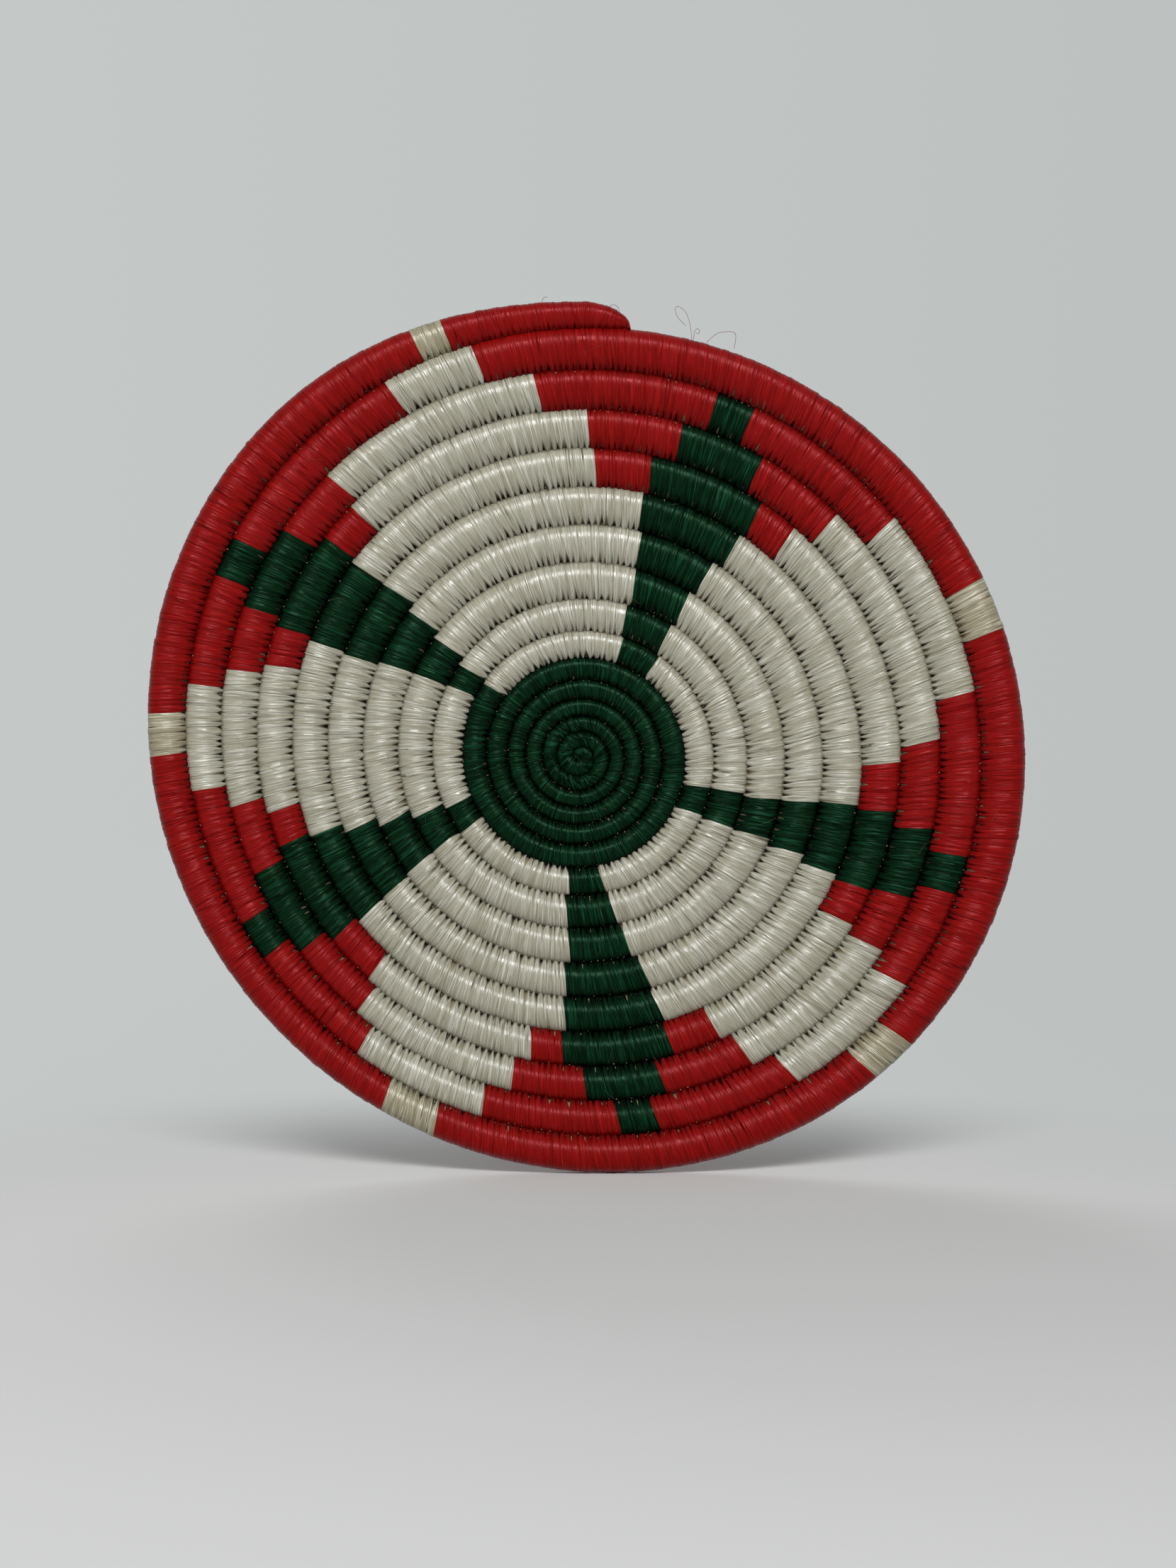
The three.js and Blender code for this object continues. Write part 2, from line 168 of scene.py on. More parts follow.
def tail_shares(row, angle):
    """Width and thickness of the tail as shares of the full row: both thin by a smooth step towards the end of
    the coil, and over the nose the width closes in as a quarter of an ellipse, and the thickness more slowly."""
    if row != RIM_ROW:
        return 1, 1
    thinned = smooth_step(TAIL_FROM, END_ANGLE, angle)
    nose = np.clip((angle - END_ANGLE + NOSE_ANGLE) / NOSE_ANGLE, 0, 1)
    closing = np.sqrt(1 - (1 - NOSE_LEFT**2) * nose * nose)
    width = (1 - (1 - TAIL_WIDTH_SHARE) * thinned) * closing
    thickness = (1 - (1 - TAIL_THICKNESS_SHARE) * thinned) * closing**NOSE_THICKNESS_EASE
    return width, thickness


def row_width(row, angle):
    """Width of a row: the distance from its inner groove to its outer one, before the tail thins."""
    start = turns_at(row, angle)
    return coil_radius(start, 1, angle)[1] - coil_radius(start, 0, angle)[1]


def row_half(row, angle):
    """Half the thickness of a row: it grows with the widening, and the curled-up start is thinner."""
    start = turns_at(row, angle)
    full = HEART_THICKNESS + (ROW_THICKNESS - HEART_THICKNESS) * widening(start + 0.5)
    started = START_THICKNESS_SHARE + (1 - START_THICKNESS_SHARE) * np.clip(start + 1, 0, 1)
    return full * started / 2 * tail_shares(row, angle)[1]


def on_coil(row, angle, across, out):
    """Points on or round a row. The angle is in degrees clockwise from the top; across is 0 at the inner groove
    and 1 at the outer one; out is -1 on the back and 1 on the crest. A row stands square on the dish, whose
    rise is a power of the distance past the flat base, and the back never goes behind the wall's plane."""
    start = turns_at(row, angle)
    even, radius = coil_radius(start, across * tail_shares(row, angle)[0], angle)
    reach = RIM_RADIUS - BASE_RADIUS
    share = np.clip((even - BASE_RADIUS) / reach, 0, None)
    steepness = RIM_RISE * RISE_EASE * share ** (RISE_EASE - 1) / reach
    slant = np.hypot(1, steepness)
    full = HEART_THICKNESS + (ROW_THICKNESS - HEART_THICKNESS) * widening(start + across)
    middle = full / 2 - BASE_CUT + RIM_RISE * share**RISE_EASE
    half = row_half(row, angle)
    radius = radius - steepness / slant * half * out
    forward = np.maximum(middle + half * out / slant, 0)
    turned = np.radians(angle)
    return np.stack([radius * np.sin(turned), -forward, radius * np.cos(turned)], axis=-1)


def ring_shape(round_angles, roundness):
    """A superellipse: the cosine and sine of each angle, to the power 2 over the roundness, signs kept."""
    power = 2 / roundness
    wide, deep = np.cos(round_angles), np.sin(round_angles)
    return np.sign(wide) * np.abs(wide) ** power, np.sign(deep) * np.abs(deep) ** power


def tube_faces(rings, sides):
    """Quads between neighbouring rings of a tube, and a fan from each end ring to the middle point that
    follows the rings' points, first the start's and then the end's."""
    ring, side = np.meshgrid(np.arange(rings - 1), np.arange(sides), indexing="ij")
    after = (side + 1) % sides
    near, far = ring * sides, (ring + 1) * sides
    quads = np.stack([near + side, far + side, far + after, near + after], axis=-1).reshape(-1, 4)
    around = np.arange(sides)
    following = (around + 1) % sides
    start_cap = np.stack([around, following, np.full(sides, rings * sides)], axis=-1)
    last = (rings - 1) * sides
    end_cap = np.stack([last + following, last + around, np.full(sides, rings * sides + 1)], axis=-1)
    return quads, np.concatenate([start_cap, end_cap])


def closed_tube(points):
    """A closed tube from rings of points, each ring the same way round: its points, quads and triangles."""
    rings, sides = points.shape[:2]
    middles = points[[0, -1]].mean(axis=1)
    quads, caps = tube_faces(rings, sides)
    return np.concatenate([points.reshape(-1, 3), middles]), quads, caps


def build_piece(name, tubes, material, attributes):
    """One mesh object from several closed tubes, smooth shaded, with a value for each point per attribute."""
    points, corners, starts = [], [], []
    offset = corner_count = 0
    for tube_points, quads, caps in tubes:
        points.append(tube_points)
        for faces in (quads, caps):
            starts.append(corner_count + np.arange(len(faces)) * faces.shape[1])
            corners.append((faces + offset).ravel())
            corner_count += faces.size
        offset += len(tube_points)
    points, corners, starts = np.concatenate(points), np.concatenate(corners), np.concatenate(starts)
    mesh = bpy.data.meshes.new(name)
    mesh.vertices.add(len(points))
    mesh.vertices.foreach_set("co", points.astype(np.float32).ravel())
    mesh.loops.add(len(corners))
    mesh.loops.foreach_set("vertex_index", corners.astype(np.int32))
    mesh.polygons.add(len(starts))
    mesh.polygons.foreach_set("loop_start", starts.astype(np.int32))
    mesh.polygons.foreach_set("use_smooth", np.ones(len(starts), bool))
    for key, values in attributes.items():
        kind = "FLOAT" if values.ndim == 1 else "FLOAT_VECTOR"
        attribute = mesh.attributes.new(key, kind, "POINT")
        attribute.data.foreach_set("value" if kind == "FLOAT" else "vector", values.astype(np.float32).ravel())
    mesh.update(calc_edges=True)
    mesh.validate()
    mesh.materials.append(material)
    return add_object(name, mesh)


def empty_tree(owner):
    """The node tree of a material or world, with nothing in it yet."""
    owner.use_nodes = True
    owner.node_tree.nodes.clear()
    return owner.node_tree


def add_node(tree, kind, inputs=(), **settings):
    """Adds a shader node, sets its properties, fills its inputs (a value is set, and a socket is linked), and
    gives its outputs."""
    made = tree.nodes.new("ShaderNode" + kind)
    for key, value in settings.items():
        setattr(made, key, value)
    for key, value in dict(inputs).items():
        if isinstance(value, bpy.types.NodeSocket):
            tree.links.new(value, made.inputs[key])
        else:
            made.inputs[key].default_value = value
    return made.outputs


def linear(hex_colour):
    """An sRGB hex colour as linear red, green, blue and alpha: a line near black, and a power above it."""
    shares = [int(hex_colour[i : i + 2], 16) / 255 for i in (1, 3, 5)]
    return [s / 12.92 if s <= 0.04045 else ((s + 0.055) / 1.055) ** 2.4 for s in shares] + [1]


# Dry banana or grass stalks, split and bundled: dull, tan, with long pale and dark lines along the coil.
def dry_stalks():
    """Noise drawn out along the stalks mixes a brown with a tan, and raises the pale streaks a little."""
    material = bpy.data.materials.new("dry_stalk_bundle")
    tree = empty_tree(material)
    lines = add_node(tree, "Attribute", attribute_name="along_stalks")
    stalks = add_node(tree, "TexNoise", {"Vector": lines["Vector"], "Scale": 1, "Detail": 3})
    colour = add_node(
        tree, "Mix", {"Factor": stalks["Fac"], 6: linear(STALK_BROWN), 7: linear(STALK_TAN)}, data_type="RGBA"
    )
    bump = add_node(
        tree, "Bump", {"Height": stalks["Fac"], "Strength": STALK_BUMP_STRENGTH, "Distance": STALK_BUMP}
    )
    surface = add_node(
        tree, "BsdfPrincipled", {"Base Color": colour[2], "Roughness": STALK_ROUGHNESS, "Normal": bump["Normal"]}
    )
    add_node(tree, "OutputMaterial", {"Surface": surface["BSDF"]})
    return material


def foundation_bundle():
    """Rings of a superellipse, a stitch's wall inside the row, along the whole coil; each ring's place is found
    by stepping an even length along the coil."""
    first = (COIL_START - HEART_TURNS) * FULL_TURN
    last = RIM_ROW * FULL_TURN + END_ANGLE - BUNDLE_STOPS_SHORT
    fine = np.arange(first, last, BUNDLE_SEARCH_STEP)
    radii = coil_radius(turns_at(0, fine), 0.5, fine)[1]
    lengths = np.concatenate([[0], np.cumsum(np.radians(BUNDLE_SEARCH_STEP) * radii[:-1])])
    steps = np.linspace(0, lengths[-1], int(lengths[-1] / BUNDLE_STEP))
    degrees = np.interp(steps, lengths, fine)
    wide, deep = ring_shape(np.linspace(math.pi, -math.pi, BUNDLE_SIDES, endpoint=False), BUNDLE_ROUNDNESS)
    rings, stalks = [], []
    for row in range(FIRST_ROW, RIM_ROW + 1):
        here = (degrees >= row * FULL_TURN) & ((degrees < (row + 1) * FULL_TURN) | (row == RIM_ROW))
        angle = (degrees[here] - row * FULL_TURN)[:, None]
        inset = np.clip(STITCH_WALL / row_width(row, angle), 0, MOST_WALL_ACROSS)
        across = 0.5 + (0.5 - inset) * wide
        out = (1 - np.clip(STITCH_WALL / row_half(row, angle), 0, MOST_WALL_OUT)) * deep
        rings.append(on_coil(row, angle, across, out))
        along = np.broadcast_to(steps[here][:, None] * STREAKS_PER_METRE, across.shape)
        around = np.broadcast_to(np.arange(BUNDLE_SIDES) * STREAK_PER_SIDE, across.shape)
        stalks.append(np.stack([along, around, np.zeros(across.shape)], axis=-1))
    tube = closed_tube(np.concatenate(rings))
    along_stalks = np.concatenate([np.concatenate(stalks).reshape(-1, 3), np.zeros((2, 3))])
    return build_piece("stalk_bundle", [tube], dry_stalks(), {"along_stalks": along_stalks})


bundle = foundation_bundle()
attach(bundle, "root")
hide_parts("foundation_coil")

# The heart: dark green raffia sewn over the small middle turns. Each stitch is a flat tuft of fine fibres that
# comes over the row, narrows to a tip at its inner edge and goes down through the row inside it.
STITCH_PITCH = 0.00235
HEART_STITCH_PITCH = 0.0020
PITCH_JITTER = 0.17
SEAM_OVERLAP = 0.00005
LEAN = math.tan(math.radians(7.5))
SWIRL = math.tan(math.radians(34))
SWIRL_TURNS = 3
LEAN_WANDER = math.tan(math.radians(4))
LEAN_WAVES = [(0.6, 1.7, 0.5), (0.4, 4.3, 2)]  # share, waves in a turn, phase
LEAN_JITTER = 0.03
NOSE_FAN = 0.7
SECTION_ROUNDNESS = 2.16
SECTION_OVERLAP = 1.05
CURL_OVERLAP = 0.3
CURL_TURNS = 1.3
random = np.random.default_rng(20)

# The section of a sewn row, in degrees round it: 180 at its inner side, 90 on its crest and 0 at its outer side.
# The points lie close together where the stitches show and further apart behind.
FACE_ANGLES = [180, 172, 164, 156, 148, 139, 128, 114, 97, 79, 61, 44, 29, 14]
BACK_ANGLES = [0, -16, -40, -70, -110, -140, -162]
WIDE, DEEP = ring_shape(np.radians(FACE_ANGLES + BACK_ANGLES), SECTION_ROUNDNESS)
ON_FACE = DEEP > 0.05
NOTCHES_OPEN = smooth_step(0.18, 0.45, DEEP)
CREVICES_OPEN = smooth_step(0.15, 0.4, np.abs(DEEP))


def stitch_lean(turns):
    """How far the stitches lean back on their way outwards: a steady lean that wanders along the coil by two
    slow sines, and near the middle a swirl that fades over the first turns."""
    wander = sum(share * np.sin(2 * math.pi * waves * turns + phase) for share, waves, phase in LEAN_WAVES)
    return LEAN + LEAN_WANDER * wander + (SWIRL - LEAN) * (1 - smooth_step(0, SWIRL_TURNS, turns))


def leaned_angle(row, angle, across, extra=0):
    """Where a stitch lies at one place across the row: it leans about its middle, and over the nose of the
    tail the stitches fan out from the inner corner."""
    turns = turns_at(row, angle)
    wide = row_width(row, angle)
    radius = np.maximum(coil_radius(turns, across, angle)[1], wide)
    leaned = angle - np.degrees((stitch_lean(turns) + extra) * (across - 0.5) * wide / radius)
    if row != RIM_ROW:
        return leaned
    nose = np.clip((angle - END_ANGLE + NOSE_ANGLE) / NOSE_ANGLE, 0, 1)
    return np.minimum(leaned, END_ANGLE) - NOSE_FAN * NOSE_ANGLE * nose * (1 - nose) * (1 - across)


def fibre_tubes(lines, thickness, sides=5):
    """Thin closed tubes round lines of points (tube, place, xyz): at each place a regular ring square to the
    line, with a radius of its own. Gives all their points, quads and triangles."""
    along = np.gradient(lines, axis=1)
    along /= np.linalg.norm(along, axis=-1, keepdims=True)
    aside = np.cross(along, [0, -1, 0])
    aside /= np.linalg.norm(aside, axis=-1, keepdims=True)
    over = np.cross(aside, along)
    turned = np.linspace(0, 2 * math.pi, sides, endpoint=False)[:, None]
    spokes = np.cos(turned) * aside[:, :, None] + np.sin(turned) * over[:, :, None]
    rings = lines[:, :, None] + thickness[..., None, None] * spokes
    count, places = lines.shape[:2]
    points = np.concatenate([rings.reshape(count, -1, 3), lines[:, [0, -1]]], axis=1)
    quads, caps = tube_faces(places, sides)
    first = np.arange(count)[:, None, None] * points.shape[1]
    return points.reshape(-1, 3), (quads + first).reshape(-1, 4), (caps + first).reshape(-1, 3)


def over_row(row, angle, turned, raised, extra=0):
    """A point on or above a row's stitches, from an angle along the row and an angle round its section: the
    superellipse's point, moved out both ways by the height."""
    wide, deep = ring_shape(np.radians(turned), SECTION_ROUNDNESS)
    width = row_width(row, angle) * tail_shares(row, angle)[0]
    across = 0.5 + wide * (0.5 * SECTION_OVERLAP + raised / width)
    out = deep * (1 + raised / row_half(row, angle))
    return on_coil(row, leaned_angle(row, angle, across, extra), across, out)


NOISE_SPAN = 900  # mm, far enough for no two fibres to share their streaks


def fibre_values(points, tubes, **shares):
    """The attributes of thin tubes: each value holds for a whole tube, and streaks run at random along it."""
    each = len(points) // tubes
    values = {key: np.repeat(np.broadcast_to(share, tubes), each) for key, share in shares.items()}
    values["fibre"] = np.repeat(random.uniform(0, NOISE_SPAN, (tubes, 3)), each, axis=0)
    return values


# Bits of the bundle between stitches: the angle round the section that each starts from, and how far it runs
OUTER_BIT_SHARE = 0.6
INNER_BIT_FROM, INNER_BIT_ROUND, INNER_BIT_SHIFT = 176, 24, (-6, 4)
OUTER_BIT_FROM, OUTER_BIT_ROUND, OUTER_BIT_SHIFT = 31, (3, 8), (-3, 3)
INNER_BIT_DEPTH, OUTER_BIT_DEPTH = 0.0002, 0.00012
BIT_THICKNESS = 0.00026
BIT_THICKNESS_RANGE = 0.4, 1.1
BIT_TAPER = np.array([0.5, 1, 1, 0.5])


def core_bits(row, knots, jitter):
    """Short pale bits between two stitches: the bundle seen low in the notch at the inner edge, or, more often,
    the place on the outer shoulder where the next row's stitch goes in. A bit runs evenly from one angle round
    the section to another."""
    count = len(knots)
    knots, jitter = knots[:, None], jitter[:, None]
    outer = (random.random((count, 1)) < OUTER_BIT_SHARE) & (row < RIM_ROW)
    way = np.linspace(0, 1, len(BIT_TAPER))
    inner_turned = INNER_BIT_FROM - INNER_BIT_ROUND * way + random.uniform(*INNER_BIT_SHIFT, (count, 1))
    outer_turned = OUTER_BIT_FROM + random.uniform(*OUTER_BIT_ROUND, (count, 1)) * way
    outer_turned = outer_turned + random.uniform(*OUTER_BIT_SHIFT, (count, 1))
    turned = np.where(outer, outer_turned, inner_turned)
    lines = over_row(row, knots, turned, np.where(outer, -OUTER_BIT_DEPTH, -INNER_BIT_DEPTH), jitter)
    thickness = BIT_THICKNESS * random.uniform(*BIT_THICKNESS_RANGE, (count, 1)) * BIT_TAPER
    tubes = fibre_tubes(lines, thickness)
    return tubes, fibre_values(
        tubes[0], count, strand=0.5, stitch=0.5, shadow=0, groove=0.2, core=random.uniform(0.5, 1, count)
    )


# Loose fibres on the stitches, about 6 mm long: the middle's angle round the section, and how far each runs
STRAY_PLACES = 8
STRAY_SIDES = 4
STRAY_AT, STRAY_ROUND = (40, 135), (15, 60)
STRAY_SLANT, STRAY_BOW, STRAY_BOW_SHIFT = 0.45, 0.12, 0.1
STRAY_LENGTH = 0.006
STRAY_HEIGHT, STRAY_ARCH = 0.00006, (0, 0.0002)
STRAY_THICKNESS = 0.00006
STRAY_THICKNESS_RANGE = 0.6, 1.3


def stray_fibres(row, start, end, count):
    """Single fibres that have come loose from the stitches and lie over the row at a slant of their own. Round
    the section a fibre runs evenly, and along the row it slants and bows as a square. As squares too, its arch
    falls to nothing towards its ends, and its thickness to a quarter."""
    middle = random.uniform(start, end, (count, 1))
    way = np.linspace(-0.5, 0.5, STRAY_PLACES)
    turned = random.uniform(*STRAY_AT, (count, 1)) - random.uniform(*STRAY_ROUND, (count, 1)) * way
    slant = random.normal(0, STRAY_SLANT, (count, 1))
    bow = random.normal(0, STRAY_BOW, (count, 1)) * (way**2 - STRAY_BOW_SHIFT)
    radius = np.maximum(even_radius(turns_at(row, middle)), STRAY_LENGTH)
    angle = np.clip(middle + math.degrees(STRAY_LENGTH) / radius * (slant * way + bow), start, end)
    raised = STRAY_HEIGHT + random.uniform(*STRAY_ARCH, (count, 1)) * (1 - 4 * way**2)
    lines = over_row(row, angle, turned, raised)
    thickness = STRAY_THICKNESS * random.uniform(*STRAY_THICKNESS_RANGE, (count, 1)) * (1 - 3 * way**2)
    tubes = fibre_tubes(lines, thickness, STRAY_SIDES)
    return tubes, fibre_values(
        tubes[0], count, strand=1.4, stitch=0.9, shadow=0, groove=0, core=random.uniform(-0.4, 0.3, count)
    )


# A fibre is 0.4 mm wide. The edges of a stitch drop by a share of its fibre ridges.
FIBRE_WIDTH = 0.0004
STITCH_EDGE = 0.93
EDGE_DROP = 0.6
# Shares of painted shade at a stitch's edges and in the hollows between its fibres
EDGE_SHADE, HOLLOW_SHADE = 0.45, 0.25


def stitch_columns(fibres):
    """Places across a stitch from -1 to 1, and how high each is and how much painted shade it gets: first the gap
    before the stitch, then the stitch's edges, and between them the ridge of each fibre with a hollow between two."""
    places = np.concatenate([[-1], np.linspace(-STITCH_EDGE, STITCH_EDGE, 2 * fibres + 1)])
    heights = np.concatenate([[0, -EDGE_DROP], np.tile([1, 0], fibres)[:-1], [-EDGE_DROP]])
    shades = np.concatenate([[1, EDGE_SHADE], np.tile([0, HOLLOW_SHADE], fibres)[:-1], [EDGE_SHADE]])
    return places[:, None], heights[:, None], shades[:, None]


def knot_sides(values):
    """Values at the knots between stitches, as each stitch has them: at the knot before it, and after it."""
    return values[:-1, None, None], values[1:, None, None]


# Short notches are commoner than long ones. Bare bundle shows beyond the gap itself.
NOTCH_SHORTENING = 1.6
NOTCH_FADE = 1.4
SHUT_NOTCH_SHARE = 0.25
BARE_SPREAD = 3.0


def notches(notch, count, place, across):
    """How stitches part at their inner ends. At an open knot the sides of both stitches draw in by a share of
    their half width, which fades outwards over the notch's length, as a power. Gives that share, the fade
    of the notch before each stitch, and how bare the bundle shows there."""
    low, high = notch["length"]
    lengths = low + (high - low) * random.random(count + 1) ** NOTCH_SHORTENING
    low, high = notch["width"]
    opened = random.random(count + 1) < notch["open"]
    widths = np.where(opened, low + (high - low) * random.random(count + 1), SHUT_NOTCH_SHARE * low)
    bare = BARE_SPREAD * (opened & (random.random(count + 1) < notch["bare"]))
    fades = [np.clip(1 - across / length, 0, 1) ** NOTCH_FADE for length in knot_sides(lengths)]
    before, after = (fade * width for fade, width in zip(fades, knot_sides(widths)))
    return np.where(place < 0, before, after), fades[0], knot_sides(bare)[0]


# Sideways, as shares of half a stitch
FIBRE_ASIDE, FIBRE_SLOPE = 0.035, 0.045
FIBRE_WAVE, FIBRE_WAVES = 0.07, 4.5


def fibre_paths(count, place, across):
    """How far each fibre strays sideways in its stitch, and the phase of its waves: a step aside, a slope across
    the row and a sine along the fibre, each of a random size. The gap and the stitch's edges don't stray."""
    each = count, len(place), 1
    wobble = random.normal(0, FIBRE_ASIDE, each) + random.normal(0, FIBRE_SLOPE, each) * WIDE
    phase = random.uniform(0, 2 * math.pi, each)
    wave = FIBRE_WAVE * random.normal(0, 1, each) * np.sin(FIBRE_WAVES * across + phase)
    return np.where(np.abs(place) < STITCH_EDGE, wobble + wave, 0), phase


# Heights in metres
FIBRE_RIDGE = 0.00005
RIDGE_RANGE = 0.3, 1.6
STITCH_LIFT, FIBRE_LIFT = 0.00007, 0.00003
FIBRE_RISE, RISE_WAVES, RISE_PHASE = 0.00002, 9, 1.7


def fibre_heights(count, heights, across, phase):
    """How high the fibres stand off the section: their ridges, a lift of each stitch and of each fibre, and a
    sine along each fibre, all of random sizes."""
    each = count, len(heights), 1
    ridge = FIBRE_RIDGE * random.uniform(*RIDGE_RANGE, each) * heights
    lift = random.normal(0, STITCH_LIFT, (count, 1, 1)) + random.normal(0, FIBRE_LIFT, each)
    rise = FIBRE_RISE * random.normal(0, 1, each) * np.sin(RISE_WAVES * across + RISE_PHASE * phase)
    return ridge + lift + rise


# Depths in metres, each with the range of its share where it varies from stitch to stitch
CREVICE = 0.00002
MOST_PARTED, PARTED_EASE = 3, 3
NOTCH_CREVICE, NOTCH_CREVICE_RANGE = 0.0002, (0.6, 2)
NOTCH_DEPTH, NOTCH_DEPTH_RANGE = 0.0019, (0.7, 1.2)
BARE_DEPTH_SHARE = 0.55
OUTER_NOTCH_DEPTH = 0.0010


def gap_depths(count, inner_notch, outer_notch, bare):
    """How the gap before a stitch lies, for each stitch: how far the stitches have parted, mostly little, as a
    power of a random share; the crevice between them, which deepens with that and in a notch; and in a notch
    the drop towards the bundle, less where the bundle shows bare."""
    parted = MOST_PARTED * random.random((count, 1, 1)) ** PARTED_EASE
    notched = np.maximum(inner_notch, outer_notch)
    crevice = CREVICE * parted + NOTCH_CREVICE * notched * random.uniform(*NOTCH_CREVICE_RANGE, (count, 1, 1))
    depth = np.where(bare > 0, BARE_DEPTH_SHARE, random.uniform(*NOTCH_DEPTH_RANGE, (count, 1, 1)))
    return parted, crevice, NOTCH_DEPTH * inner_notch * depth + OUTER_NOTCH_DEPTH * outer_notch


# As shares of the row's width
OVERHANG, OVERHANG_RANGE = 0.13, (0.85, 1.15)
OVERHANG_AT = 0.42
OVERHANG_SPREAD = 0.16
TUCK = 0.035
TUCK_FROM, TUCK_TO = 0.1, 0.5


def tip_reach(count, place, pointed):
    """How far a stitch reaches inwards over the row inside, as a share of the row's width: a bell over the
    section's depth, which a square takes down towards the stitch's edges. The gap is tucked in low down."""
    bell = np.exp(-(((DEEP - OVERHANG_AT) / OVERHANG_SPREAD) ** 2))
    tip = OVERHANG * (1 - pointed * place**2) * bell * random.uniform(*OVERHANG_RANGE, (count, 1, 1))
    tuck = TUCK * (1 - smooth_step(TUCK_FROM, TUCK_TO, np.abs(DEEP)))
    return np.where(place == -1, tuck, tip * ON_FACE) * (WIDE < 0)


def lay_on_row(row, angle, across, lean, raised, sunk, tip):
    """Points of the sewn surface: a row's section, moved out along the superellipse's normal where it is raised,
    towards the bundle where it is sunk, and inwards at the tips. The thin turns in the eye take less of each."""
    wide = row_width(row, angle) * tail_shares(row, angle)[0]
    half = row_half(row, angle)
    normal_wide = np.abs(WIDE) ** (SECTION_ROUNDNESS - 1) * np.sign(WIDE) / (wide / 2)
    normal_deep = np.abs(DEEP) ** (SECTION_ROUNDNESS - 1) * np.sign(DEEP) / half
    normal_long = np.hypot(normal_wide, normal_deep)
    small = np.minimum(1, half / (0.5 * HEART_THICKNESS))
    raised, sunk = raised * small, sunk * small
    tip = tip * np.clip(turns_at(row, angle), 0, 1)
    leaned = leaned_angle(row, angle, across, lean)
    across = across - tip + raised * normal_wide / normal_long / wide
    out = DEEP + (raised * normal_deep / normal_long - sunk) / half
    return on_coil(row, leaned, across, out)


# Crowns in metres, and from where to where across the row, or in what share, the other marks come in
CROWN = 0.000015
INNER_CROWN, INNER_CROWN_TO = 0.00022, 0.4
OUTER_NOTCH_FROM, OUTER_NOTCH_TO = 0.86, 0.95
EDGE_SINKS = 0.1
BARE_FROM, BARE_TO = 0.1, 0.5
# Painted shade: the least share in every gap and hollow, more where stitches have parted, less groove shade on the
# rim's outer side
LEAST_SHADE, PARTED_SHADE = 0.15, 0.05
RIM_EDGE_GROOVE = 0.2
MILLIMETRES = 1000
STITCH_NOISE_STEP, ROW_NOISE_STEP = 7.3, 31


